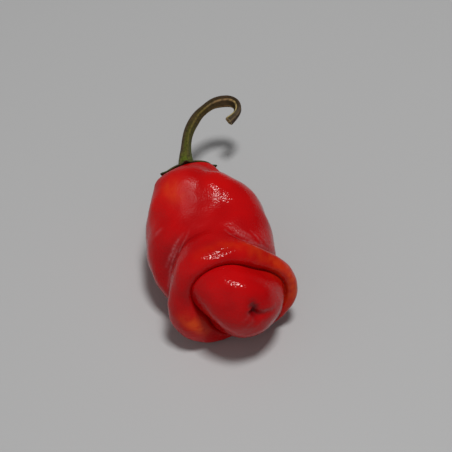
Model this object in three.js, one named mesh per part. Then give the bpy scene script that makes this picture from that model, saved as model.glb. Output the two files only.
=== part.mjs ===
// A ripe bonnet chilli pepper lying on its side, as picked. It is two pieces that grew:
// the red pod, and the green calyx with its stem, one piece, seated on the pod's shoulder.
// Millimetres, +Z up, the stem towards +Y, the pod's blossom end towards -Y.
// The origin is on the surface that the pepper lies on, under the middle of its outline.
import * as THREE from "three";

// The pod's axis is an arc in an upright plane. It starts at the calyx, dips, then rises at the rim.
const CALYX = new THREE.Vector3(-9.54, 13.16, 19.6);
const POD_HEADING = 16.5; // degrees to the right of -Y
const SLOPE_AT_CALYX = -13.6; // degrees
const SLOPE_AT_RIM = 8.3; // degrees
const RIM_AHEAD = 45.1; // from the calyx to the rim, along the axis
const CORE_FROM = 12; // folds and swellings push towards or from this stretch of the axis
const CORE_TO = 36.8;

// How fine the faces are
const POD_COLUMNS = 64;
const STEM_COLUMNS = 50;
const FOLD_SAMPLES = 8; // between two points of a fold

// Colours as seen in daylight
const POD_RED = 0xa01219;
const STEM_GREEN = 0x4b4f22;

const radians = THREE.MathUtils.degToRad;
const clamp = THREE.MathUtils.clamp;
const UPRIGHT = new THREE.Vector3(0, 0, 1);

// Rings round the pod's axis, from the calyx to the tip of the dome. ahead is how far along the
// axis a ring lies, reach is how far it stands out, and shift moves it to the right and up.
// Eight values are those to the right, upper right, top, upper left, left, lower left, bottom and
// lower right. rows is how many rows of faces lead on to the next ring.
const POD_RINGS = [
  { name: "seat centre", ahead: 1.6, reach: 0, rows: 1 },
  { name: "seat", ahead: 1.7, reach: 5.6, rows: 1 },
  { name: "seat edge", ahead: 1.9, reach: [7.8, 7.4, 7.3, 7.8, 8.4, 8.8, 8.9, 8.4], rows: 2 },
  { name: "shoulder", ahead: 4.6, reach: [10.1, 8.0, 9.9, 12.1, 11.8, 12.4, 12.9, 12.5], rows: 3 },
  { name: "shoulder valley", ahead: 8.3, reach: [13.1, 10.7, 14.1, 15.0, 12.7, 14.7, 15.1, 15.1], rows: 4 },
  { name: "upper belly", ahead: 13.8, reach: [15.6, 14.9, 15.9, 16.7, 16.0, 16.8, 16.0, 16.2], rows: 4 },
  { name: "belly", ahead: 19.3, reach: [16.4, 16.9, 15.3, 16.3, 17.8, 17.8, 16.1, 16.7], rows: 4 },
  { name: "lower belly", ahead: 24.8, reach: [16.6, 16.9, 14.2, 15.8, 18.8, 18.4, 16.1, 16.7], rows: 4 },
  { name: "saddle", ahead: 30.8, reach: [16.6, 16.0, 14.0, 15.2, 18.4, 18.4, 16.2, 16.9], rows: 4 },
  {
    name: "waist",
    ahead: [36.8, 36.8, 35.0, 33.1, 35.4, 36.8, 36.8, 36.8],
    reach: [15.8, 14.5, 14.4, 15.5, 17.1, 18.0, 16.4, 17.3],
    rows: 4,
  },
  {
    name: "rim back",
    ahead: [40.9, 40.5, 39.2, 37.7, 40.0, 41.4, 40.9, 40.9],
    reach: [17.1, 14.5, 15.4, 16.7, 16.8, 19.0, 16.7, 18.8],
    rows: 3,
  },
  {
    name: "rim crest",
    ahead: [44.0, 43.7, 43.1, 42.8, 43.2, 44.3, 43.7, 44.2],
    reach: [18.3, 15.2, 15.9, 17.3, 17.4, 19.5, 16.9, 19.5],
    rows: 3,
  },
  {
    name: "rim front",
    ahead: [46.6, 46.4, 46.4, 46.2, 46.4, 47.5, 45.6, 46.4],
    reach: [17.3, 13.1, 14.4, 15.8, 15.5, 16.9, 16.5, 18.4],
    rows: 2,
  },
  {
    name: "rim lip",
    ahead: [46.6, 46.4, 46.8, 46.7, 46.7, 47.8, 45.8, 46.6],
    reach: [15.1, 11.0, 12.3, 13.8, 12.0, 11.8, 15.9, 17.1],
    rows: 2,
  },
  {
    name: "crease",
    ahead: [45.8, 45.6, 46.1, 46.1, 45.8, 46.2, 45.6, 45.9],
    reach: [14.4, 10.3, 11.6, 13.1, 10.9, 10.3, 15.6, 16.5],
    rows: 1,
  },
  {
    name: "dome foot",
    ahead: [46.6, 46.6, 47.1, 47.1, 46.7, 46.9, 46.6, 46.8],
    reach: [14.0, 10.0, 11.4, 12.9, 10.8, 9.9, 15.3, 16.0],
    rows: 3,
  },
  {
    name: "dome flank",
    ahead: [50.1, 50.1, 50.8, 51.1, 50.6, 50.1, 49.2, 49.7],
    reach: [12.3, 10.0, 10.7, 11.4, 9.6, 9.0, 13.2, 13.8],
    shift: [0.6, 0],
    rows: 4,
  },
  {
    name: "dome shoulder",
    ahead: 54.3,
    reach: [8.8, 8.5, 9.0, 9.0, 7.9, 7.5, 9.2, 9.4],
    shift: [1.1, 0.3],
    rows: 3,
  },
  { name: "dome crown", ahead: 57.0, reach: 4.8, shift: [1.7, 1.1], rows: 3 },
  { name: "dome tip", ahead: 58.0, reach: 0, shift: [2.2, 2.0] },
];

// Folds pressed into the pod, and swellings where depth is below zero. Each path point is a ring,
// counted from 0 with parts between, an angle in degrees from the right over the top, and a depth.
const FOLDS = [
  {
    name: "left fold",
    width: 2.9,
    path: [
      [7.6, 114, 0], [8.0, 125, 0.7], [8.3, 137, 1.6], [8.5, 150, 2.4], [8.6, 161, 2.8],
      [8.8, 170, 3.0], [9.1, 177, 3.0], [9.3, 184, 2.5], [9.5, 194, 1.7], [9.7, 215, 0.4],
    ],
  },
  {
    name: "right fold",
    width: 2.0,
    path: [
      [8.3, 92, 0], [8.9, 78, 0.7], [9.3, 70, 1.3], [9.7, 60, 1.7], [10.0, 45, 1.8],
      [9.8, 25, 2.2], [9.4, 5, 2.0], [9.2, -15, 1.3], [9.1, -40, 0.3],
    ],
  },
  { name: "right lobe", width: 4.1, path: [[4.4, 62, -0.7], [4.8, 70, -1.0], [5.2, 76, -0.7]] },
  { name: "below the right lobe", width: 4.0, path: [[6.5, 86, 0.5], [6.8, 76, 0.8], [6.9, 64, 0.4]] },
  { name: "left lobe", width: 4.4, path: [[4.4, 146, -0.7], [5.0, 144, -0.8]] },
  {
    name: "shoulder step",
    width: 1.7,
    path: [[3.2, 10, 0.4], [3.4, 30, 0.9], [3.7, 55, 0.8], [4.1, 80, 0.3]],
  },
  {
    name: "furrow between the lobes",
    width: 2.8,
    path: [[3.9, 60, 0.2], [4.6, 88, 0.7], [5.6, 104, 0.9], [6.8, 108, 0.6], [7.6, 100, 0]],
  },
  {
    name: "shoulder notch",
    width: 1.5,
    path: [[3.9, 165, 0.3], [4.0, 185, 0.9], [4.0, 210, 0.9], [4.0, 230, 0.3]],
  },
  {
    name: "dimple",
    width: 1.3,
    path: [
      [18.1, 80, 0.3], [18.5, 76, 1.1], [18.9, 30, 1.8], [18.8, -31, 1.8], [18.6, -50, 1.2],
      [18.4, -60, 0.4],
    ],
  },
  { name: "hollow by the dimple", width: 3.2, path: [[18.4, 60, 0.4], [18.8, 10, 0.5], [18.6, -25, 0.4]] },
  {
    name: "dimple crease",
    width: 1.2,
    path: [[18.7, 325, 0.5], [18.4, 343, 0.7], [18.0, 350, 0.5], [17.6, 353, 0.3], [17.2, 358, 0.1]],
  },
  { name: "roll hump, left", width: 3.4, path: [[10.9, 133, -0.4], [11.6, 131, -0.4]] },
  { name: "roll dip", width: 3.2, path: [[10.6, 104, 0.4], [11.5, 103, 0.6], [12.1, 102, 0.3]] },
  { name: "roll hump, right", width: 3.4, path: [[10.9, 72, -0.4], [11.7, 74, -0.4]] },
  { name: "back foot", width: 4.6, path: [[5.5, 256, -1.3], [5.7, 266, -1.3]] },
  { name: "left foot", width: 4.2, path: [[10.2, 252, -1.2], [10.6, 250, -1.1]] },
  { name: "right foot", width: 4.2, path: [[10.0, 297, -2.0], [10.5, 299, -1.8]] },
];

// The stem's middle line, from the middle of the calyx: level with it, bending right, then hooking down.
const STEM_PATH = [
  [0, 0, 0], [-0.8, 3.2, 0.6], [-0.9, 7.0, 0.9], [-0.7, 11.3, 0.9], [0, 15.2, 1.0],
  [1.3, 18.8, 1.1], [2.8, 21.6, 1.3], [4.7, 23.9, 1.4], [6.3, 25.3, 1.6], [8.4, 26.4, 1.7],
  [11.6, 27.1, 1.5], [13.9, 26.6, 0.8], [14.6, 24.9, 0], [13.6, 23.2, -0.8], [12.0, 21.7, -1.4],
];
// Rings of the calyx and stem. at is a place on the path, lift moves the ring along it, and tooth
// is how far the calyx's teeth stand out of it.
const STEM_RINGS = [
  { name: "underside centre", at: 0, lift: -0.75, radius: 0, rows: 1 },
  { name: "underside", at: 0, lift: -0.5, radius: 4.4, rows: 1 },
  { name: "under the rim", at: 0, lift: -1.25, radius: 7.7, tooth: 0.8, rows: 1 },
  { name: "calyx rim", at: 0, lift: -1.05, radius: 8, tooth: 1.3, rows: 1 },
  { name: "over the rim", at: 0, lift: -0.72, radius: 7.6, tooth: 0.8, rows: 1 },
  { name: "plate", at: 0, lift: 0.1, radius: 5.4, rows: 2 },
  { name: "flare", at: 0, lift: 1.1, radius: 3.3, rows: 2 },
  { name: "foot", at: 0.7, radius: 2.4, rows: 1 },
  { name: "stem", at: 1.2, radius: 2.05, rows: 1 },
  { name: "stem", at: 2, radius: 1.6, rows: 2 },
  { name: "stem", at: 3, radius: 1.45, rows: 2 },
  { name: "stem", at: 4, radius: 1.5, rows: 2 },
  { name: "stem", at: 5, radius: 1.55, rows: 2 },
  { name: "stem", at: 6, radius: 1.45, rows: 2 },
  { name: "stem", at: 7, radius: 1.4, rows: 1 },
  { name: "stem", at: 8, radius: 1.5, rows: 1 },
  { name: "stem", at: 9, radius: 1.7, rows: 2 },
  { name: "bend", at: 10, radius: 1.75, rows: 2 },
  { name: "hook", at: 11, radius: 1.45, rows: 2 },
  { name: "hook", at: 12, radius: 1.1, rows: 2 },
  { name: "hook", at: 13, radius: 1.15, rows: 2 },
  { name: "torn end", at: 14, radius: 1.4, rows: 1 },
  { name: "edge of the end", at: 14, lift: 0.3, radius: 1.15, rows: 1 },
  { name: "hollow of the end", at: 14, lift: -0.5, radius: 0.5, rows: 1 },
  { name: "bottom of the hollow", at: 14, lift: -0.7, radius: 0 },
];
const TEETH = [8, 100, 158, 230, 302]; // degrees
const TOOTH_SPREAD = 0.1; // radians, half the width of a tooth
const PLATE_LEAN = 0.15; // how much further the plate reaches towards its lower side
const PLATE_LEAN_AT = 240; // degrees
const STEM_RIBS = 5;
const RIB_HEIGHT = 0.07; // of the stem's radius
const RIB_TURN = 0.6; // radians

// A smooth curve through rows of values at 0, 1, 2 and so on. Each span blends its two rows and
// their second derivatives, which are worked out so that the slope has no step. With flatEnds the
// curve starts and stops level, and without them it runs on straight.
function curveThrough(rows, flatEnds) {
  const last = rows.length - 1;
  const bends = rows[0].map((_, k) => {
    const value = (i) => rows[clamp(i, 0, last)][k];
    const upper = [];
    const right = [];
    for (let i = 0; i <= last; i++) {
      const atEnd = i === 0 || i === last;
      const diagonal = atEnd ? (flatEnds ? 2 : 1) : 4;
      const beside = atEnd && !flatEnds ? 0 : 1;
      const load = atEnd && !flatEnds ? 0 : 6 * (value(i - 1) - 2 * value(i) + value(i + 1));
      const before = i === 0 ? 0 : beside;
      const left = diagonal - before * (upper[i - 1] ?? 0);
      upper.push(beside / left);
      right.push((load - before * (right[i - 1] ?? 0)) / left);
    }
    for (let i = last - 1; i >= 0; i--) right[i] -= upper[i] * right[i + 1];
    return right;
  });
  return (place) => {
    const i = clamp(Math.floor(place), 0, last - 1);
    const u = place - i;
    const v = 1 - u;
    return rows[i].map(
      (from, k) =>
        v * from + u * rows[i + 1][k] + ((v ** 3 - v) * bends[k][i] + (u ** 3 - u) * bends[k][i + 1]) / 6,
    );
  };
}

// A smooth closed curve round the axis through eight values at even turns.
function roundAbout(eight, angle) {
  return eight.reduce((sum, value, i) => {
    const x = angle - (i * Math.PI) / 4;
    const bell = 1 + 2 * Math.cos(x) + 2 * Math.cos(2 * x) + 2 * Math.cos(3 * x) + Math.cos(4 * x);
    return sum + (value * bell) / 8;
  }, 0);
}

// The pod's axis at a distance from the calyx, with the directions to the right, up and ahead.
function podAxis(ahead) {
  const from = radians(SLOPE_AT_CALYX);
  const radius = RIM_AHEAD / (radians(SLOPE_AT_RIM) - from);
  const slope = from + ahead / radius;
  const level = new THREE.Vector3(Math.sin(radians(POD_HEADING)), -Math.cos(radians(POD_HEADING)), 0);
  return {
    point: CALYX.clone()
      .addScaledVector(level, radius * (Math.sin(slope) - Math.sin(from)))
      .addScaledVector(UPRIGHT, radius * (Math.cos(from) - Math.cos(slope))),
    right: new THREE.Vector3(-level.y, level.x, 0),
    up: level.clone().multiplyScalar(-Math.sin(slope)).addScaledVector(UPRIGHT, Math.cos(slope)),
    ahead: level.clone().multiplyScalar(Math.cos(slope)).addScaledVector(UPRIGHT, Math.sin(slope)),
  };
}

const allRound = (value) => (Array.isArray(value) ? value : Array(8).fill(value));
const ringAhead = curveThrough(POD_RINGS.map((ring) => allRound(ring.ahead)), true);
const ringReach = curveThrough(POD_RINGS.map((ring) => allRound(ring.reach)), false);
const ringShift = curveThrough(POD_RINGS.map((ring) => ring.shift ?? [0, 0]), true);

// The pod's skin before its folds, at a ring and an angle.
function smoothPod(ring, angle) {
  const ahead = roundAbout(ringAhead(ring), angle);
  const reach = roundAbout(ringReach(ring), angle);
  const [shiftRight, shiftUp] = ringShift(ring);
  const axis = podAxis(ahead);
  const point = axis.point
    .addScaledVector(axis.right, reach * Math.cos(angle) + shiftRight)
    .addScaledVector(axis.up, reach * Math.sin(angle) + shiftUp);
  return { point, ahead };
}

// Each fold as a close row of points on the skin, with its depth at each.
const foldPoints = FOLDS.map(({ width, path }) => {
  const count = (path.length - 1) * FOLD_SAMPLES;
  const points = Array.from({ length: count + 1 }, (_, i) => {
    const from = path[Math.min(Math.floor(i / FOLD_SAMPLES), path.length - 2)];
    const to = path[path.indexOf(from) + 1];
    const share = i / FOLD_SAMPLES - path.indexOf(from);
    const [ring, angle, depth] = from.map((value, k) => value + share * (to[k] - value));
    return { point: smoothPod(ring, radians(angle)).point, depth };
  });
  return { width, points };
});

// How deep the folds press at a point: each fades as a bell with the distance from its path.
function foldDepth(point) {
  return foldPoints.reduce((sum, { width, points }) => {
    const nearest = points.reduce((best, p) =>
      p.point.distanceToSquared(point) < best.point.distanceToSquared(point) ? p : best,
    );
    return sum + nearest.depth * Math.exp(-nearest.point.distanceToSquared(point) / width ** 2);
  }, 0);
}

// The pod's skin. It is pressed in along its folds, and flat where it meets the surface it lies on.
function podSkin(ring, angle) {
  const { point, ahead } = smoothPod(ring, angle);
  const core = podAxis(clamp(ahead, CORE_FROM, CORE_TO)).point;
  const outward = point.clone().sub(core).normalize();
  const skin = point.clone().addScaledVector(outward, -foldDepth(point));
  skin.z = Math.max(skin.z, 0);
  return skin;
}

const stemPath = curveThrough(STEM_PATH, false);
const stemRing = curveThrough(
  STEM_RINGS.map(({ at, lift = 0, radius, tooth = 0 }) => [at, lift, radius, tooth]),
  true,
);

// The skin of the calyx and stem, at a ring and an angle counted as on the pod.
function stemSkin(ring, angle) {
  const [place, lift, radius, tooth] = stemRing(ring);
  const at = clamp(place, 0, STEM_PATH.length - 1);
  const step = 0.02;
  const before = new THREE.Vector3(...stemPath(Math.max(at - step, 0)));
  const after = new THREE.Vector3(...stemPath(Math.min(at + step, STEM_PATH.length - 1)));
  const seated = clamp(1 - at, 0, 1) ** 2; // the calyx sits square on the pod's axis
  const along = after.sub(before).normalize().multiplyScalar(1 - seated);
  along.addScaledVector(podAxis(0).ahead, -seated).normalize();
  const right = along.clone().cross(UPRIGHT).normalize();
  const up = right.clone().cross(along);

  const nearest = Math.max(...TEETH.map((tooth) => Math.cos(angle - radians(tooth))));
  const spike = Math.exp((2 * (nearest - 1)) / TOOTH_SPREAD ** 2);
  const rib = 1 + RIB_HEIGHT * Math.cos(STEM_RIBS * angle + RIB_TURN) * clamp(at - 0.4, 0, 1);
  const lean = 1 + PLATE_LEAN * Math.cos(angle - radians(PLATE_LEAN_AT)) * clamp(1 - at, 0, 1);
  const reach = Math.max(radius, 0) * rib * lean + Math.max(tooth, 0) * spike;
  return new THREE.Vector3(...stemPath(at))
    .add(CALYX)
    .addScaledVector(along, lift)
    .addScaledVector(right, reach * Math.cos(angle))
    .addScaledVector(up, reach * Math.sin(angle));
}

// The places of all rows of faces: each ring, and the rows between it and the next.
function rowPlaces(rings) {
  const places = rings.flatMap(({ rows = 1 }, i) => Array.from({ length: rows }, (_, k) => i + k / rows));
  return places.slice(0, places.lastIndexOf(rings.length - 1) + 1);
}

// A closed skin: a ball whose rows and columns are drawn out to a surface of rings and angles.
// turn is 1 or -1, the way round that keeps the faces outward.
function closedSkin(columns, rings, turn, skinAt) {
  const places = rowPlaces(rings);
  const geometry = new THREE.SphereGeometry(1, columns, places.length - 1);
  const position = geometry.getAttribute("position");
  for (let i = 0; i < position.count; i++) {
    const place = places[Math.floor(i / (columns + 1))];
    const column = (i % (columns + 1)) % columns;
    const { x, y, z } = skinAt(place, (turn * 2 * Math.PI * column) / columns);
    position.setXYZ(i, x, y, z);
  }
  geometry.computeVertexNormals();
  return geometry;
}

function piece(name, geometry, color, roughness) {
  const mesh = new THREE.Mesh(geometry, new THREE.MeshStandardMaterial({ color, roughness, metalness: 0 }));
  mesh.name = name;
  return mesh;
}

const pepper = new THREE.Group();
pepper.add(
  piece("pod", closedSkin(POD_COLUMNS, POD_RINGS, -1, podSkin), POD_RED, 0.25),
  piece("stem_and_calyx", closedSkin(STEM_COLUMNS, STEM_RINGS, 1, stemSkin), STEM_GREEN, 0.6),
);

export default pepper;
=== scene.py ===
import math

import bpy
import numpy as np
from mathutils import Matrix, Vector


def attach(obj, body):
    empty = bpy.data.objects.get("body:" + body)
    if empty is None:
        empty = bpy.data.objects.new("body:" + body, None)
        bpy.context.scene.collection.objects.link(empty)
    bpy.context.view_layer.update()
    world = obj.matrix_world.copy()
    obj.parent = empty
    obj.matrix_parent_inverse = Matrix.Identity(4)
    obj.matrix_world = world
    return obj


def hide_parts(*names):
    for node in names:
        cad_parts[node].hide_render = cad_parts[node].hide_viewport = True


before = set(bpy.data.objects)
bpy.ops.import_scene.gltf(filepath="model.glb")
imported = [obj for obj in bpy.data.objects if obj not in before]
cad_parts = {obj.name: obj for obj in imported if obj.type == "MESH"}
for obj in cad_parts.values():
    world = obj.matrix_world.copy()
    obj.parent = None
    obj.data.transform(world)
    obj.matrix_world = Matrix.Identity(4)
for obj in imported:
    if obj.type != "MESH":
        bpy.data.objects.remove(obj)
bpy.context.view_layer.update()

# The camera
# It looks down at the pepper's blossom end from the front, at the photograph's angle, with a long lens.
LOOK_AT = Vector((0.0015, -0.0066, 0.0178))
CAMERA_ELEVATION = math.radians(50)
CAMERA_DISTANCE = 0.35
VIEW_WIDTH = 0.128  # of what the picture shows at that distance
SENSOR_WIDTH = 36  # mm


def aim(thing, target):
    """Turn a camera or light so that it looks at target."""
    thing.rotation_mode = "QUATERNION"
    thing.rotation_quaternion = (Vector(target) - thing.location).to_track_quat("-Z", "Y")


camera = bpy.data.objects.new("camera", bpy.data.cameras.new("camera"))
camera.data.lens = SENSOR_WIDTH * CAMERA_DISTANCE / VIEW_WIDTH
back_and_up = Vector((0, -math.cos(CAMERA_ELEVATION), math.sin(CAMERA_ELEVATION)))
camera.location = LOOK_AT + CAMERA_DISTANCE * back_and_up
aim(camera, LOOK_AT)
bpy.context.collection.objects.link(camera)
bpy.context.scene.camera = camera

# The pod
# A ripe fruit that grew in one piece: a waxy red skin over soft flesh, bulging in lobes between the
# shoulder and a rolled rim, with a dome and its dimple standing out of the rim. Its axis is an arc in an
# upright plane.
MM = 0.001
CALYX = np.array((-9.54, 13.16, 19.6)) * MM
POD_HEADING = math.radians(16.5)  # to the right of -Y
SLOPE_AT_CALYX = math.radians(-13.6)
SLOPE_AT_RIM = math.radians(8.3)
RIM_AHEAD = 45.1 * MM
CORE = (12 * MM, 36.8 * MM)  # folds and swellings push towards or from this stretch of the axis
POD_ROWS_PER_RING = 16
POD_COLUMNS = 310

# Rings round the axis, from the calyx to the dome's tip: how far along it, in mm, how far out in eight
# directions from the right over the top, and a shift to the right and up.
POD_RINGS = [
    ("seat centre", 1.6, 0, (0, 0)),
    ("seat", 1.7, 5.6, (0, 0)),
    ("seat edge", 1.9, (7.8, 7.4, 7.3, 7.8, 8.4, 8.8, 8.9, 8.4), (0, 0)),
    ("shoulder", 4.6, (10.1, 8.0, 9.9, 12.1, 11.8, 12.4, 12.9, 12.5), (0, 0)),
    ("shoulder valley", 8.3, (13.1, 10.7, 14.1, 15.0, 12.7, 14.7, 15.1, 15.1), (0, 0)),
    ("upper belly", 13.8, (15.6, 14.9, 15.9, 16.7, 16.0, 16.8, 16.0, 16.2), (0, 0)),
    ("belly", 19.3, (16.4, 16.9, 15.3, 16.3, 17.8, 17.8, 16.1, 16.7), (0, 0)),
    ("lower belly", 24.8, (16.6, 16.9, 14.2, 15.8, 18.8, 18.4, 16.1, 16.7), (0, 0)),
    ("saddle", 30.8, (16.6, 16.0, 14.0, 15.2, 18.4, 18.4, 16.2, 16.9), (0, 0)),
    ("waist", (36.8, 36.8, 35.0, 33.1, 35.4, 36.8, 36.8, 36.8),
     (15.8, 14.5, 14.4, 15.5, 17.1, 18.0, 16.4, 17.3), (0, 0)),
    ("rim back", (40.9, 40.5, 39.2, 37.7, 40.0, 41.4, 40.9, 40.9),
     (17.1, 14.5, 15.4, 16.7, 16.8, 19.0, 16.7, 18.8), (0, 0)),
    ("rim crest", (44.0, 43.7, 43.1, 42.8, 43.2, 44.3, 43.7, 44.2),
     (18.3, 15.2, 15.9, 17.3, 17.4, 19.5, 16.9, 19.5), (0, 0)),
    ("rim front", (46.6, 46.4, 46.4, 46.2, 46.4, 47.5, 45.6, 46.4),
     (17.3, 13.1, 14.4, 15.8, 15.5, 16.9, 16.5, 18.4), (0, 0)),
    ("rim lip", (46.6, 46.4, 46.8, 46.7, 46.7, 47.8, 45.8, 46.6),
     (15.1, 11.0, 12.3, 13.8, 12.0, 11.8, 15.9, 17.1), (0, 0)),
    ("crease", (45.8, 45.6, 46.1, 46.1, 45.8, 46.2, 45.6, 45.9),
     (14.4, 10.3, 11.6, 13.1, 10.9, 10.3, 15.6, 16.5), (0, 0)),
    ("dome foot", (46.6, 46.6, 47.1, 47.1, 46.7, 46.9, 46.6, 46.8),
     (14.0, 10.0, 11.4, 12.9, 10.8, 9.9, 15.3, 16.0), (0, 0)),
    ("dome flank", (50.1, 50.1, 50.8, 51.1, 50.6, 50.1, 49.2, 49.7),
     (12.3, 10.0, 10.7, 11.4, 9.6, 9.0, 13.2, 13.8), (0.6, 0)),
    ("dome shoulder", 54.3, (8.8, 8.5, 9.0, 9.0, 7.9, 7.5, 9.2, 9.4), (1.1, 0.3)),
    ("dome crown", 57.0, 4.8, (1.7, 1.1)),
    ("dome tip", 58.0, 0, (2.2, 2.0)),
]
# Folds pressed into the skin, and swellings where depth is below zero: a width in mm, and path points of a
# ring counted from 0, an angle in degrees and a depth in mm.
FOLDS = {
    "left fold": (2.9, [(7.6, 114, 0), (8.0, 125, 0.7), (8.3, 137, 1.6), (8.5, 150, 2.4), (8.6, 161, 2.8),
                        (8.8, 170, 3.0), (9.1, 177, 3.0), (9.3, 184, 2.5), (9.5, 194, 1.7),
                        (9.7, 215, 0.4)]),
    "right fold": (2.0, [(8.3, 92, 0), (8.9, 78, 0.7), (9.3, 70, 1.3), (9.7, 60, 1.7), (10.0, 45, 1.8),
                         (9.8, 25, 2.2), (9.4, 5, 2.0), (9.2, -15, 1.3), (9.1, -40, 0.3)]),
    "right lobe": (4.1, [(4.4, 62, -0.7), (4.8, 70, -1.0), (5.2, 76, -0.7)]),
    "below the right lobe": (4.0, [(6.5, 86, 0.5), (6.8, 76, 0.8), (6.9, 64, 0.4)]),
    "left lobe": (4.4, [(4.4, 146, -0.7), (5.0, 144, -0.8)]),
    "shoulder step": (1.7, [(3.2, 10, 0.4), (3.4, 30, 0.9), (3.7, 55, 0.8), (4.1, 80, 0.3)]),
    "furrow between the lobes": (2.8, [(3.9, 60, 0.2), (4.6, 88, 0.7), (5.6, 104, 0.9), (6.8, 108, 0.6),
                                       (7.6, 100, 0)]),
    "shoulder notch": (1.5, [(3.9, 165, 0.3), (4.0, 185, 0.9), (4.0, 210, 0.9), (4.0, 230, 0.3)]),
    "dimple": (1.3, [(18.1, 80, 0.3), (18.5, 76, 1.1), (18.9, 30, 1.8), (18.8, -31, 1.8), (18.6, -50, 1.2),
                     (18.4, -60, 0.4)]),
    "hollow by the dimple": (3.2, [(18.4, 60, 0.4), (18.8, 10, 0.5), (18.6, -25, 0.4)]),
    "dimple crease": (1.2, [(18.7, 325, 0.5), (18.4, 343, 0.7), (18.0, 350, 0.5), (17.6, 353, 0.3),
                            (17.2, 358, 0.1)]),
    "roll hump, left": (3.4, [(10.9, 133, -0.4), (11.6, 131, -0.4)]),
    "roll dip": (3.2, [(10.6, 104, 0.4), (11.5, 103, 0.6), (12.1, 102, 0.3)]),
    "roll hump, right": (3.4, [(10.9, 72, -0.4), (11.7, 74, -0.4)]),
    "back foot": (4.6, [(5.5, 256, -1.3), (5.7, 266, -1.3)]),
    "left foot": (4.2, [(10.2, 252, -1.2), (10.6, 250, -1.1)]),
    "right foot": (4.2, [(10.0, 297, -2.0), (10.5, 299, -1.8)]),
}
# Fine corky streaks, where the skin split and healed as it grew: a half width in mm, and path points of a
# ring, an angle in degrees and a strength.
SCARS = {
    "left valley": (0.32, [(7.7, 122, 0.1), (8.0, 129, 0.4), (8.3, 137, 0.5), (8.6, 146, 0.7),
                           (9.2, 152, 0.7), (9.6, 160, 0.6), (9.4, 172, 0.6), (9.4, 183, 0.8),
                           (9.5, 190, 0.8), (9.7, 197, 0.5)]),
    "left valley, upper": (0.28, [(7.7, 128, 0.1), (7.8, 137, 0.5), (7.9, 145, 0.6), (8.0, 152, 0.2)]),
    "left valley, lower": (0.28, [(8.1, 141, 0.2), (8.3, 152, 0.7), (8.5, 161, 0.4)]),
    "left valley, left": (0.28, [(8.0, 147, 0.2), (8.2, 157, 0.5), (8.3, 164, 0.2)]),
    "left valley, foot": (0.3, [(8.44, 156, 0.3), (8.56, 166, 0.7), (8.69, 174, 0.8), (8.88, 182, 0.7),
                                (9, 189, 0.5), (9.2, 196, 0.2)]),
    "left valley, beside": (0.26, [(7.81, 138, 0.2), (8, 150, 0.6), (8.19, 161, 0.6), (8.38, 172, 0.3)]),
    "left lobe": (0.5, [(6.9, 147, 0.2), (6.9, 153, 0.6), (6.9, 161, 0.2)]),
    "right net, long": (0.34, [(8.7, 84, 0.3), (9.2, 80, 0.6), (9.4, 71, 0.6), (9.45, 60, 0.7),
                               (9.5, 50, 0.8), (9.4, 39, 0.9), (9.3, 28, 0.9), (9.0, 10, 0.7)]),
    "right net, second": (0.28, [(9.1, 81, 0.2), (8.9, 72, 0.5), (9.05, 64, 0.6), (9.3, 55, 0.6),
                                 (9.4, 46, 0.3)]),
    "right net, third": (0.28, [(8.7, 71, 0.2), (8.8, 64, 0.5), (9.0, 58, 0.6), (9.15, 52, 0.3)]),
    "right net, fourth": (0.28, [(8.7, 55, 0.3), (8.9, 50, 0.7), (9.1, 45, 0.7), (9.3, 37, 0.4)]),
    "right net, fifth": (0.28, [(8.7, 49, 0.2), (8.9, 41, 0.6), (9.0, 31, 0.8), (9.0, 22, 0.4)]),
    "below the dimple": (0.4, [(18.9, 183, 0.15), (18.7, 200, 0.25), (18.4, 208, 0.1)]),
    "below the dimple, right": (0.4, [(18.6, 283, 0.15), (18.4, 249, 0.25), (18.1, 243, 0.1)]),
    "foot of the dome": (0.4, [(18.1, 322, 0.15), (18.05, 295, 0.25), (17.8, 271, 0.1)]),
}
# Patches that stay orange where they ripened last, given like the streaks; on the chin and the left
# shoulder the orange is a painted glow
LATE_AND_GLOW_PATCHES = {
    "chin": (1.9, [(12.2, 193, 0.35), (12.5, 203, 0.68), (12.7, 215, 0.68), (12.7, 226, 0.4)]),
    "right rim": (2.9, [(11.3, 58, 0.15), (11.5, 40, 0.3), (11.7, 15, 0.55), (11.8, -8, 0.65),
                        (11.9, -30, 0.4)]),
    "right rim, edge": (2.0, [(11.6, 9, 0.1), (12.1, -1, 0.2), (12.5, -14, 0.2)]),
    "roll": (2.0, [(11.2, 118, 0.1), (10.9, 95, 0.15), (11.0, 75, 0.2), (11.2, 58, 0.15)]),
    "left shoulder": (2.6, [(4.9, 124, 0.3), (5.4, 120, 0.3)]),
}
# Patches where the wax is dull, given like the streaks
DULL_PATCHES = {
    "left lobe": (5.5, [(4.2, 124, 1.0), (5.2, 118, 1.0), (6.4, 113, 1.0), (7.2, 110, 0.8)]),
    "saddle": (4.5, [(8.2, 100, 0.3), (8.4, 80, 0.4), (8.6, 60, 0.5)]),
    "shoulder": (5.0, [(2.9, 40, 0.9), (3.3, 90, 0.9), (3.1, 140, 0.9)]),
    "chin": (5.0, [(12.0, 215, 0.4), (12.6, 240, 0.5)]),
}
# The dark blossom scar in the dimple, given like one streak; it also paints shade into the dimple's hollow
BLOSSOM_SCAR_AND_SHADE_PATH = (1.0, [(18.2, 80, 0.3), (18.5, 76, 0.6), (18.9, 30, 0.8), (18.8, -31, 0.7),
                      (18.7, -50, 0.5)])
PATH_SAMPLES = 60
SCAR_HEIGHT = 0.05 * MM
# Painted shade: folds and hollows are painted a darker red by their depth, fully at this depth
FOLD_FULL_SHADE_DEPTH = 3 * MM  # the depth at which a fold has its full dark red
LUMP_HEIGHT = 0.10 * MM  # the skin's shallow unevenness
LUMP_LENGTHS = (3.5 * MM, 9 * MM)
LUMP_WAVES = 40
LUMP_SEED = 4

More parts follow.
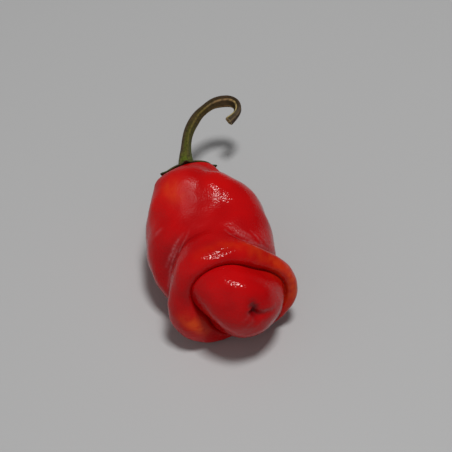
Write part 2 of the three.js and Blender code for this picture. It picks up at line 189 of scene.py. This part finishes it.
# Colours, and how many waves of noise or cells each texture has in a metre
RED_CLOUDS = 110
RED_SHADES = ((0.3, (0.50, 0.0025, 0.003)), (0.7, (0.62, 0.005, 0.004)))
# Deeper red towards the dome, partly painted shade where the front gets less light
DEEPER_AND_SHADED_AHEAD = ((0.1, (1, 1, 1)), (0.5, (0.87, 0.6, 1)), (1.0, (0.88, 0.6, 1)))
ORANGE_AND_GLOW_CLOUDS = 420
# The orange of late ripening, which on the chin and left shoulder is a painted glow
ORANGE_AND_GLOW = ((0.75, (0.72, 0.075, 0.009)), (1.0, (0.30, 0.06, 0.008)))
# Painted shade in the folds and hollows
FOLD_SHADE_RED = (0.27, 0.002, 0.004)
# Dark blossom scar, with painted shade in the dimple's hollow
BLOSSOM_SCAR_AND_SHADE_BROWN = (0.08, 0.002, 0.004)
STREAK_BREAKS = 1400
STREAK_PINK = (0.50, 0.15, 0.16)
WAX_CLOUDS = 600
WAX_ROUGHNESS = (0.1, 0.18)
DULL_ROUGHNESS = 0.4  # added where the wax is dull
WAX_SHINE = 0.15
PEBBLE_CELLS = 2000
PEBBLES = {"Strength": 0.45, "Distance": 0.11 * MM}
DENT_CLOUDS = 750
DENTS = {"Strength": 0.5, "Distance": 0.18 * MM}


def curve_through(rows, s, flat_ends):
    """Smooth curves through rows of values at s = 0, 1, 2 and so on. Each span blends its two rows and
    their second derivatives, which solve the equations for a slope without steps."""
    n = len(rows)
    joins = 4 * np.eye(n) + np.eye(n, k=1) + np.eye(n, k=-1)
    load = np.zeros_like(rows)
    load[1:-1] = 6 * (rows[2:] - 2 * rows[1:-1] + rows[:-2])
    if flat_ends:
        joins[0, 0] = joins[-1, -1] = 2
        load[0] = 6 * (rows[1] - rows[0])
        load[-1] = 6 * (rows[-2] - rows[-1])
    else:
        joins[0, 1] = joins[-1, -2] = 0
        joins[0, 0] = joins[-1, -1] = 1
    bend = np.linalg.solve(joins, load)
    i = np.clip(np.floor(s).astype(int), 0, n - 2)
    u = (s - i)[..., None]
    v = 1 - u
    return v * rows[i] + u * rows[i + 1] + ((v**3 - v) * bend[i] + (u**3 - u) * bend[i + 1]) / 6


def round_about(eight, angle):
    """A smooth closed curve through eight values at even turns: each value times a bell of cosines that
    is 1 at its own direction and 0 at the other seven."""
    x = angle[..., None] - np.arange(8) * math.pi / 4
    bell = 1 + 2 * np.cos(x) + 2 * np.cos(2 * x) + 2 * np.cos(3 * x) + np.cos(4 * x)
    return (eight * bell).sum(-1) / 8


def pod_axis(ahead):
    """Point on the pod's axis at a distance from the calyx, with the directions to the right and up: an arc
    whose slope grows evenly from the calyx to the rim."""
    radius = RIM_AHEAD / (SLOPE_AT_RIM - SLOPE_AT_CALYX)
    slope = (SLOPE_AT_CALYX + ahead / radius)[..., None]
    level = np.array((math.sin(POD_HEADING), -math.cos(POD_HEADING), 0))
    upright = np.array((0, 0, 1.0))
    right = np.array((-level[1], level[0], 0))
    point = CALYX + radius * ((np.sin(slope) - math.sin(SLOPE_AT_CALYX)) * level
                              + (math.cos(SLOPE_AT_CALYX) - np.cos(slope)) * upright)
    return point, right, np.cos(slope) * upright - np.sin(slope) * level


ring_ahead = np.array([np.broadcast_to(ahead, 8) for _, ahead, _, _ in POD_RINGS]) * MM
ring_reach = np.array([np.broadcast_to(reach, 8) for _, _, reach, _ in POD_RINGS]) * MM
ring_shift = np.array([shift for *_, shift in POD_RINGS]) * MM


def smooth_pod(ring, angle):
    """The skin before its folds, and how far ahead it lies: the axis point at that distance, plus the reach
    along the direction of the angle, plus the ring's shift."""
    ahead = round_about(curve_through(ring_ahead, ring, True), angle)
    reach = round_about(curve_through(ring_reach, ring, False), angle)
    shift = curve_through(ring_shift, ring, True)
    point, right, up = pod_axis(ahead)
    aside = reach * np.cos(angle) + shift[..., 0]
    above = reach * np.sin(angle) + shift[..., 1]
    return point + aside[..., None] * right + above[..., None] * up, ahead


def beside_path(points, width, path):
    """How strongly a path on the skin acts at each point: the strength at the nearest sample of the path,
    times a bell of the distance from it over the width."""
    place = np.linspace(0, len(path) - 1, PATH_SAMPLES)
    ring, angle, strength = (np.interp(place, range(len(path)), column)
                             for column in np.array(path, float).T)
    line = smooth_pod(ring, np.radians(angle))[0]
    nearest = np.full(points.shape[:-1], np.inf)
    value = np.zeros(points.shape[:-1])
    for sample, depth in zip(line, strength):
        away = ((points - sample) ** 2).sum(-1)
        value = np.where(away < nearest, depth, value)
        nearest = np.minimum(nearest, away)
    return value * np.exp(-nearest / (width * MM) ** 2)


def lumps(points):
    """Shallow unevenness of about -2 to 2: a sum of sine waves with seeded directions, lengths and starts,
    over the square root of their number."""
    random = np.random.default_rng(LUMP_SEED)
    direction = random.normal(size=(LUMP_WAVES, 3))
    direction /= np.linalg.norm(direction, axis=1, keepdims=True)
    length = random.uniform(*LUMP_LENGTHS, LUMP_WAVES)
    start = random.uniform(0, 2 * math.pi, LUMP_WAVES)
    waves = np.sin(points @ (2 * math.pi * direction / length[:, None]).T + start)
    return waves.sum(-1) / math.sqrt(LUMP_WAVES)


def closed_skin(name, rows, faces_out, **layers):
    """A closed mesh from rows of points round an axis. The first and last rows are one point each, and
    fans of triangles join them to the rows beside them. The faces are turned over unless they already
    face out. layers are values for each point, kept as attributes."""
    count, columns = rows.shape[:2]
    body = rows[1:-1]
    index = np.arange((count - 2) * columns).reshape(count - 2, columns)
    beside = np.roll(index, -1, axis=1)
    quads = np.stack((index[:-1], beside[:-1], beside[1:], index[1:]), -1).reshape(-1, 4)
    first = index.size
    last = first + 1
    start_fan = np.stack((np.full(columns, first), beside[0], index[0]), -1)
    end_fan = np.stack((np.full(columns, last), index[-1], beside[-1]), -1)
    faces = [quads, start_fan, end_fan]
    if not faces_out:
        faces = [face[:, ::-1] for face in faces]
    mesh = bpy.data.meshes.new(name)
    points = np.concatenate((body.reshape(-1, 3), rows[:1, 0], rows[-1:, 0]))
    mesh.from_pydata(points.tolist(), [], [face for group in faces for face in group.tolist()])
    for layer, values in layers.items():
        flat = np.concatenate((values[1:-1].ravel(), values[:1, 0], values[-1:, 0]))
        mesh.attributes.new(layer, "FLOAT", "POINT").data.foreach_set("value", flat.astype(np.float32))
    mesh.shade_smooth()
    thing = bpy.data.objects.new(name, mesh)
    bpy.context.collection.objects.link(thing)
    return thing


def grid(ring_count, rows_per_ring, columns):
    """Ring places and angles for every row and column of a skin."""
    rings = np.linspace(0, ring_count - 1, (ring_count - 1) * rows_per_ring + 1)
    angles = np.arange(columns) * 2 * math.pi / columns
    return np.meshgrid(rings, angles, indexing="ij")


ring, angle = grid(len(POD_RINGS), POD_ROWS_PER_RING, POD_COLUMNS)
skin, ahead = smooth_pod(ring, angle)
depth = sum(beside_path(skin, *fold) for fold in FOLDS.values()) * MM
scar, late, dull = (np.clip(sum(beside_path(skin, *patch) for patch in patches.values()), 0, 1)
                    for patches in (SCARS, LATE_AND_GLOW_PATCHES, DULL_PATCHES))
# The dark blossom scar, which also paints shade in the dimple's hollow
blossom = beside_path(skin, *BLOSSOM_SCAR_AND_SHADE_PATH)
outward = skin - pod_axis(np.clip(ahead, *CORE))[0]
outward /= np.linalg.norm(outward, axis=-1, keepdims=True)
# No unevenness under the calyx or at the dome's very tip
fade = np.clip((ring - 1) / 2, 0, 1) * np.clip(len(POD_RINGS) - 1 - ring, 0, 1)
depth = depth + LUMP_HEIGHT * (1 - lumps(skin)) * fade - SCAR_HEIGHT * scar
skin = skin - depth[..., None] * outward
skin[..., 2] = np.maximum(skin[..., 2], 0)
# The colour layers: the fold depth gives painted shade, the orange patches include a painted glow, and the
# dimple's dark scar includes painted shade
pod = closed_skin("pod_skin", skin, True, fold=np.clip(depth / FOLD_FULL_SHADE_DEPTH, 0, 1), scar=scar, late=late,
                  dull=dull, blossom=blossom, ahead=ahead / ahead.max())


def add(tree, kind, settings=None, **inputs):
    """Add a node with its settings. An input is a value, or the output of another node; an underscore in
    its name stands for a space."""
    node = tree.nodes.new(kind)
    for name, value in (settings or {}).items():
        setattr(node, name, value)
    for name, value in inputs.items():
        socket = node.inputs[name.replace("_", " ")]
        if isinstance(value, bpy.types.NodeSocket):
            tree.links.new(value, socket)
        else:
            socket.default_value = value
    return node


def new_material(name):
    """A material with its shader and the object's coordinates."""
    material = bpy.data.materials.new(name)
    material.use_nodes = True
    tree = material.node_tree
    place = add(tree, "ShaderNodeTexCoord").outputs["Object"]
    return material, tree, tree.nodes["Principled BSDF"], place


def ramp(tree, factor, *stops):
    """A colour ramp from pairs of a place and a colour."""
    node = add(tree, "ShaderNodeValToRGB", Fac=factor)
    elements = node.color_ramp.elements
    while len(elements) < len(stops):
        elements.new(0.5)
    for element, (place, colour) in zip(elements, stops):
        element.position = place
        element.color = (*colour, 1)
    return node.outputs["Color"]


def mix(tree, factor, first, second, blend="MIX"):
    """Blend two colours."""
    node = add(tree, "ShaderNodeMix", {"data_type": "RGBA", "blend_type": blend})
    for index, value in ((0, factor), (6, first), (7, second)):
        if isinstance(value, bpy.types.NodeSocket):
            tree.links.new(value, node.inputs[index])
        else:
            node.inputs[index].default_value = value if index == 0 else (*value, 1)
    return node.outputs[2]


def attribute(tree, name):
    """A value that the mesh keeps for each point."""
    return add(tree, "ShaderNodeAttribute", {"attribute_name": name}).outputs["Fac"]


def noise(tree, place, scale, detail=2.0):
    """Cloudy noise from 0 to 1, with scale waves in a metre."""
    return add(tree, "ShaderNodeTexNoise", Vector=place, Scale=scale, Detail=detail).outputs["Fac"]


def times(tree, first, second):
    """The product of two values."""
    node = add(tree, "ShaderNodeMath", {"operation": "MULTIPLY"})
    tree.links.new(first, node.inputs[0])
    tree.links.new(second, node.inputs[1])
    return node.outputs[0]


def waxy_red():
    """Deep red skin, darker and deeper red towards the dome with partly painted shade, orange where it
    ripened last and a painted orange glow on the chin and left shoulder, painted shade in the folds and a
    dark blossom scar with painted shade in the dimple, with pale corky streaks, a fine pebble and a gloss
    that it breaks up."""
    material, tree, shader, place = new_material("waxy_red_skin")
    red = ramp(tree, noise(tree, place, RED_CLOUDS), *RED_SHADES)
    # Partly painted shade: darker and deeper red towards the dome
    red = mix(tree, 1.0, red, ramp(tree, attribute(tree, "ahead"), *DEEPER_AND_SHADED_AHEAD), "MULTIPLY")
    patchy = add(tree, "ShaderNodeMapRange", Value=noise(tree, place, ORANGE_AND_GLOW_CLOUDS, 3), From_Min=0.35,
                 From_Max=0.62, To_Min=0.35, To_Max=1.15).outputs["Result"]
    # Orange patches, partly real late ripening and partly a painted glow on the chin and left shoulder
    orange_and_glow_share = times(tree, attribute(tree, "late"), patchy)
    with_orange_and_glow = mix(tree, orange_and_glow_share, red, ramp(tree, orange_and_glow_share, *ORANGE_AND_GLOW))
    # Painted shade: a darker red by the depth of the folds and hollows
    fold_shaded = mix(tree, attribute(tree, "fold"), with_orange_and_glow, FOLD_SHADE_RED)
    # Dark blossom scar, partly painted shade in the dimple's hollow
    dimple_scar_and_shade = mix(tree, attribute(tree, "blossom"), fold_shaded, BLOSSOM_SCAR_AND_SHADE_BROWN)
    broken = add(tree, "ShaderNodeMapRange", Value=noise(tree, place, STREAK_BREAKS, 4), From_Min=0.35,
                 From_Max=0.6, To_Min=0.15, To_Max=0.55).outputs["Result"]
    colour = mix(tree, times(tree, attribute(tree, "scar"), broken), dimple_scar_and_shade, STREAK_PINK)
    tree.links.new(colour, shader.inputs["Base Color"])
    waxy = add(tree, "ShaderNodeMapRange", Value=noise(tree, place, WAX_CLOUDS), To_Min=WAX_ROUGHNESS[0],
               To_Max=WAX_ROUGHNESS[1])
    rough = add(tree, "ShaderNodeMath", {"operation": "MULTIPLY_ADD"})
    tree.links.new(attribute(tree, "dull"), rough.inputs[0])
    rough.inputs[1].default_value = DULL_ROUGHNESS
    tree.links.new(waxy.outputs["Result"], rough.inputs[2])
    tree.links.new(rough.outputs[0], shader.inputs["Roughness"])
    cells = add(tree, "ShaderNodeTexVoronoi", Vector=place, Scale=PEBBLE_CELLS)
    pebble = add(tree, "ShaderNodeBump", Height=cells.outputs["Distance"], **PEBBLES)
    dents = add(tree, "ShaderNodeBump", Height=noise(tree, place, DENT_CLOUDS),
                Normal=pebble.outputs["Normal"], **DENTS)
    tree.links.new(dents.outputs["Normal"], shader.inputs["Normal"])
    shader.inputs["Specular IOR Level"].default_value = WAX_SHINE
    return material


pod.data.materials.append(waxy_red())
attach(pod, "root")
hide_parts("pod")

# The stem and calyx
# One green piece that grew: a thin plate with five short teeth, seated on the pod's shoulder, and a ribbed
# stem that runs back level from its middle, bends to the right and hooks down to a torn end.
STEM_PATH = np.array([
    (0, 0, 0), (-0.8, 3.2, 0.6), (-0.9, 7.0, 0.9), (-0.7, 11.3, 0.9), (0, 15.2, 1.0),
    (1.3, 18.8, 1.1), (2.8, 21.6, 1.3), (4.7, 23.9, 1.4), (6.3, 25.3, 1.6), (8.4, 26.4, 1.7),
    (11.6, 27.1, 1.5), (13.9, 26.6, 0.8), (14.6, 24.9, 0), (13.6, 23.2, -0.8), (12.0, 21.7, -1.4),
]) * MM  # from the middle of the calyx
# Rings of the skin: a place on the path, a lift along it, a radius and the length of the teeth, in mm
STEM_RINGS = [
    ("underside centre", 0, -0.75, 0, 0),
    ("underside", 0, -0.5, 4.4, 0),
    ("under the rim", 0, -1.25, 7.7, 0.8),
    ("calyx rim", 0, -1.05, 8.0, 1.3),
    ("over the rim", 0, -0.72, 7.6, 0.8),
    ("plate", 0, 0.1, 5.4, 0),
    ("flare", 0, 1.1, 3.3, 0),
    ("foot", 0.7, 0, 2.4, 0),
    ("stem", 1.2, 0, 2.05, 0),
    ("stem", 2, 0, 1.6, 0),
    ("stem", 3, 0, 1.45, 0),
    ("stem", 4, 0, 1.5, 0),
    ("stem", 5, 0, 1.55, 0),
    ("stem", 6, 0, 1.45, 0),
    ("stem", 7, 0, 1.4, 0),
    ("stem", 8, 0, 1.5, 0),
    ("stem", 9, 0, 1.7, 0),
    ("bend", 10, 0, 1.75, 0),
    ("hook", 11, 0, 1.45, 0),
    ("hook", 12, 0, 1.1, 0),
    ("hook", 13, 0, 1.15, 0),
    ("torn end", 14, 0, 1.4, 0),
    ("edge of the end", 14, 0.3, 1.15, 0),
    ("hollow of the end", 14, -0.5, 0.5, 0),
    ("bottom of the hollow", 14, -0.7, 0, 0),
]
TEETH = np.radians((8, 100, 158, 230, 302))
TOOTH_SPREAD = 0.1  # radians
PLATE_LEAN = 0.15  # how much further the plate reaches towards its lower side
PLATE_LEAN_AT = math.radians(240)
RIBS = 5
RIB_HEIGHT = 0.07  # of the radius
RIB_TURN = 0.6  # radians that the ribs are turned by
RIBS_FROM = 0.4  # the place on the path where the ribs start to rise
TORN_RINGS = 4  # the last rings, which are the torn end
BROWN_OVERLAP = 0.2  # how far the brown left side reaches round the stem
BROWN_FROM = 0.03  # where it starts, and over how much it deepens, with 1 for the whole path
BROWN_FADE = 0.1
STEM_ROWS_PER_RING = 8
STEM_COLUMNS = 150

# Colours by the place along the stem, and how many waves of noise each texture has in a metre
BODY_ALONG = ((0.0, (0.030, 0.042, 0.008)), (0.06, (0.095, 0.125, 0.008)), (0.2, (0.072, 0.068, 0.010)),
              (0.45, (0.052, 0.036, 0.008)), (0.75, (0.030, 0.019, 0.006)), (0.9, (0.052, 0.036, 0.010)))
RIBS_ALONG = ((0.1, (0.10, 0.10, 0.02)), (0.45, (0.15, 0.105, 0.022)), (0.7, (0.25, 0.14, 0.050)),
              (0.88, (0.55, 0.43, 0.16)))
BROWN_CLOUDS = 160
CLOUDY_BROWN = (0.12, 0.062, 0.034)
LEFT_SIDE_BROWN = (0.062, 0.036, 0.024)
GRAIN_SPOTS = 1300
DARK_GRAIN = (0.020, 0.014, 0.006)
GRAIN_SHARE = 0.55
PALE_FIBRE = (0.50, 0.38, 0.18)
DARK_FIBRE = (0.10, 0.05, 0.02)
GRAIN_BUMPS = 1500
GRAIN = {"Strength": 0.8, "Distance": 0.2 * MM}
STEM_ROUGHNESS = 0.55
STEM_SHINE = 0.18


def stem_skin(ring, angle):
    """The skin of the calyx and stem: the path point, lifted along the path, plus the radius times ribs and
    teeth along the direction of the angle. Near the calyx the path's direction turns to the pod's axis."""
    table = np.array([row[1:] for row in STEM_RINGS], float)
    at, lift, radius, tooth = np.moveaxis(curve_through(table, ring, True), -1, 0)
    last = len(STEM_PATH) - 1
    at = np.clip(at, 0, last)
    step = 0.02  # of the path, to each side of the place whose direction is taken
    along = curve_through(STEM_PATH, np.minimum(at + step, last), False)
    along -= curve_through(STEM_PATH, np.maximum(at - step, 0), False)
    along /= np.linalg.norm(along, axis=-1, keepdims=True)
    seated = (np.clip(1 - at, 0, 1) ** 2)[..., None]
    _, pod_right, pod_up = pod_axis(np.zeros(1))
    along = (1 - seated) * along + seated * np.cross(pod_up, pod_right)
    along /= np.linalg.norm(along, axis=-1, keepdims=True)
    right = np.cross(along, (0, 0, 1.0))
    right /= np.linalg.norm(right, axis=-1, keepdims=True)
    up = np.cross(right, along)
    gap = np.abs((angle[..., None] - TEETH + math.pi) % (2 * math.pi) - math.pi).min(-1)
    spike = np.exp(-(gap / TOOTH_SPREAD) ** 2)
    rib = 1 + RIB_HEIGHT * np.cos(RIBS * angle + RIB_TURN) * np.clip(at - RIBS_FROM, 0, 1)
    lean = 1 + PLATE_LEAN * np.cos(angle - PLATE_LEAN_AT) * np.clip(1 - at, 0, 1)
    reach = (np.maximum(radius, 0) * rib * lean + np.maximum(tooth, 0) * spike) * MM
    middle = CALYX + curve_through(STEM_PATH, at, False) + (lift * MM)[..., None] * along
    point = middle + (reach * np.cos(angle))[..., None] * right + (reach * np.sin(angle))[..., None] * up
    return point, at / last


ring, angle = grid(len(STEM_RINGS), STEM_ROWS_PER_RING, STEM_COLUMNS)
skin, along = stem_skin(ring, angle)
torn = np.clip(ring - (len(STEM_RINGS) - TORN_RINGS), 0, 1)
# Browner and darker on the stem's left side, from a little past its foot
weathered = np.clip(BROWN_OVERLAP - np.cos(angle), 0, 1) * np.clip((along - BROWN_FROM) / BROWN_FADE, 0, 1)
stem = closed_skin("stem_skin", skin, False, along=along, ribs=np.cos(RIBS * angle + RIB_TURN), torn=torn,
                   weathered=weathered)


def green_stem():
    """Dull olive stem, green at the calyx and brown at the bend, with paler ribs, a brown left side, a
    grainy dark mottle and a tan torn end."""
    material, tree, shader, place = new_material("olive_stem")
    length = attribute(tree, "along")
    ridge = ramp(tree, attribute(tree, "ribs"), (0.35, (0, 0, 0)), (0.95, (1, 1, 1)))
    ribbed = mix(tree, ridge, ramp(tree, length, *BODY_ALONG), ramp(tree, length, *RIBS_ALONG))
    cloudy = ramp(tree, noise(tree, place, BROWN_CLOUDS), (0.42, (0, 0, 0)), (0.62, (0.25, 0.25, 0.25)))
    ribbed = mix(tree, cloudy, ribbed, CLOUDY_BROWN)
    brown_side = ramp(tree, attribute(tree, "weathered"), (0.3, (0, 0, 0)), (0.8, (0.85, 0.85, 0.85)))
    ribbed = mix(tree, brown_side, ribbed, LEFT_SIDE_BROWN)
    grains = ramp(tree, noise(tree, place, GRAIN_SPOTS, 4), (0.46, (0, 0, 0)), (0.62, (1, 1, 1)))
    mottled = mix(tree, grains, ribbed, DARK_GRAIN)
    worn = mix(tree, 1 - GRAIN_SHARE, mottled, ribbed)
    fibres = mix(tree, grains, PALE_FIBRE, DARK_FIBRE)
    colour = mix(tree, attribute(tree, "torn"), worn, fibres)
    tree.links.new(colour, shader.inputs["Base Color"])
    grain = add(tree, "ShaderNodeBump", Height=noise(tree, place, GRAIN_BUMPS, 4), **GRAIN)
    tree.links.new(grain.outputs["Normal"], shader.inputs["Normal"])
    shader.inputs["Roughness"].default_value = STEM_ROUGHNESS
    shader.inputs["Specular IOR Level"].default_value = STEM_SHINE
    return material


stem.data.materials.append(green_stem())
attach(stem, "root")
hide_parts("stem_and_calyx")

# The floor and the light
# A plain pale floor, one soft light nearly overhead and a little towards the camera, and a dim sky that is
# brightest low down on the camera's side, to its left.
FLOOR_SIZE = 2.0
FLOOR_GREY = 0.47
FLOOR_ROUGHNESS = 0.6
LIGHT_PLACE = (0.08, -0.08, 0.9)
LIGHT_SIZE = 0.17
LIGHT_POWER = 5.6
SKY_STRENGTH = 0.5
BRIGHT_SIDE = (-0.55, -0.75, -0.35)  # of the room, as seen from the pepper
SKY_GREYS = ((0.0, 0.12), (0.5, 0.36), (0.8, 0.8), (1.0, 1.0))  # from its dim side to its bright side

half = FLOOR_SIZE / 2
floor_mesh = bpy.data.meshes.new("floor")
corners = [(-half, -half, 0), (half, -half, 0), (half, half, 0), (-half, half, 0)]
floor_mesh.from_pydata(corners, [], [(0, 1, 2, 3)])
floor = bpy.data.objects.new("floor", floor_mesh)
bpy.context.collection.objects.link(floor)
material, _, shader, _ = new_material("pale_floor")
shader.inputs["Base Color"].default_value = (FLOOR_GREY, FLOOR_GREY, FLOOR_GREY, 1)
shader.inputs["Roughness"].default_value = FLOOR_ROUGHNESS
floor_mesh.materials.append(material)

light = bpy.data.objects.new("soft_light", bpy.data.lights.new("soft_light", "AREA"))
light.data.size = LIGHT_SIZE
light.data.energy = LIGHT_POWER
light.location = LIGHT_PLACE
aim(light, LOOK_AT)
bpy.context.collection.objects.link(light)

world = bpy.data.worlds.new("soft_sky")
world.use_nodes = True
tree = world.node_tree
direction = add(tree, "ShaderNodeTexCoord").outputs["Generated"]
bright_side = add(tree, "ShaderNodeVectorMath", {"operation": "DOT_PRODUCT"})
tree.links.new(direction, bright_side.inputs[0])
bright_side.inputs[1].default_value = BRIGHT_SIDE
towards = add(tree, "ShaderNodeMapRange", Value=bright_side.outputs["Value"], From_Min=-1)
sky = ramp(tree, towards.outputs["Result"], *((place, (grey, grey, grey)) for place, grey in SKY_GREYS))
tree.links.new(sky, tree.nodes["Background"].inputs["Color"])
tree.nodes["Background"].inputs["Strength"].default_value = SKY_STRENGTH
bpy.context.scene.world = world
bpy.context.scene.view_settings.view_transform = "Standard"
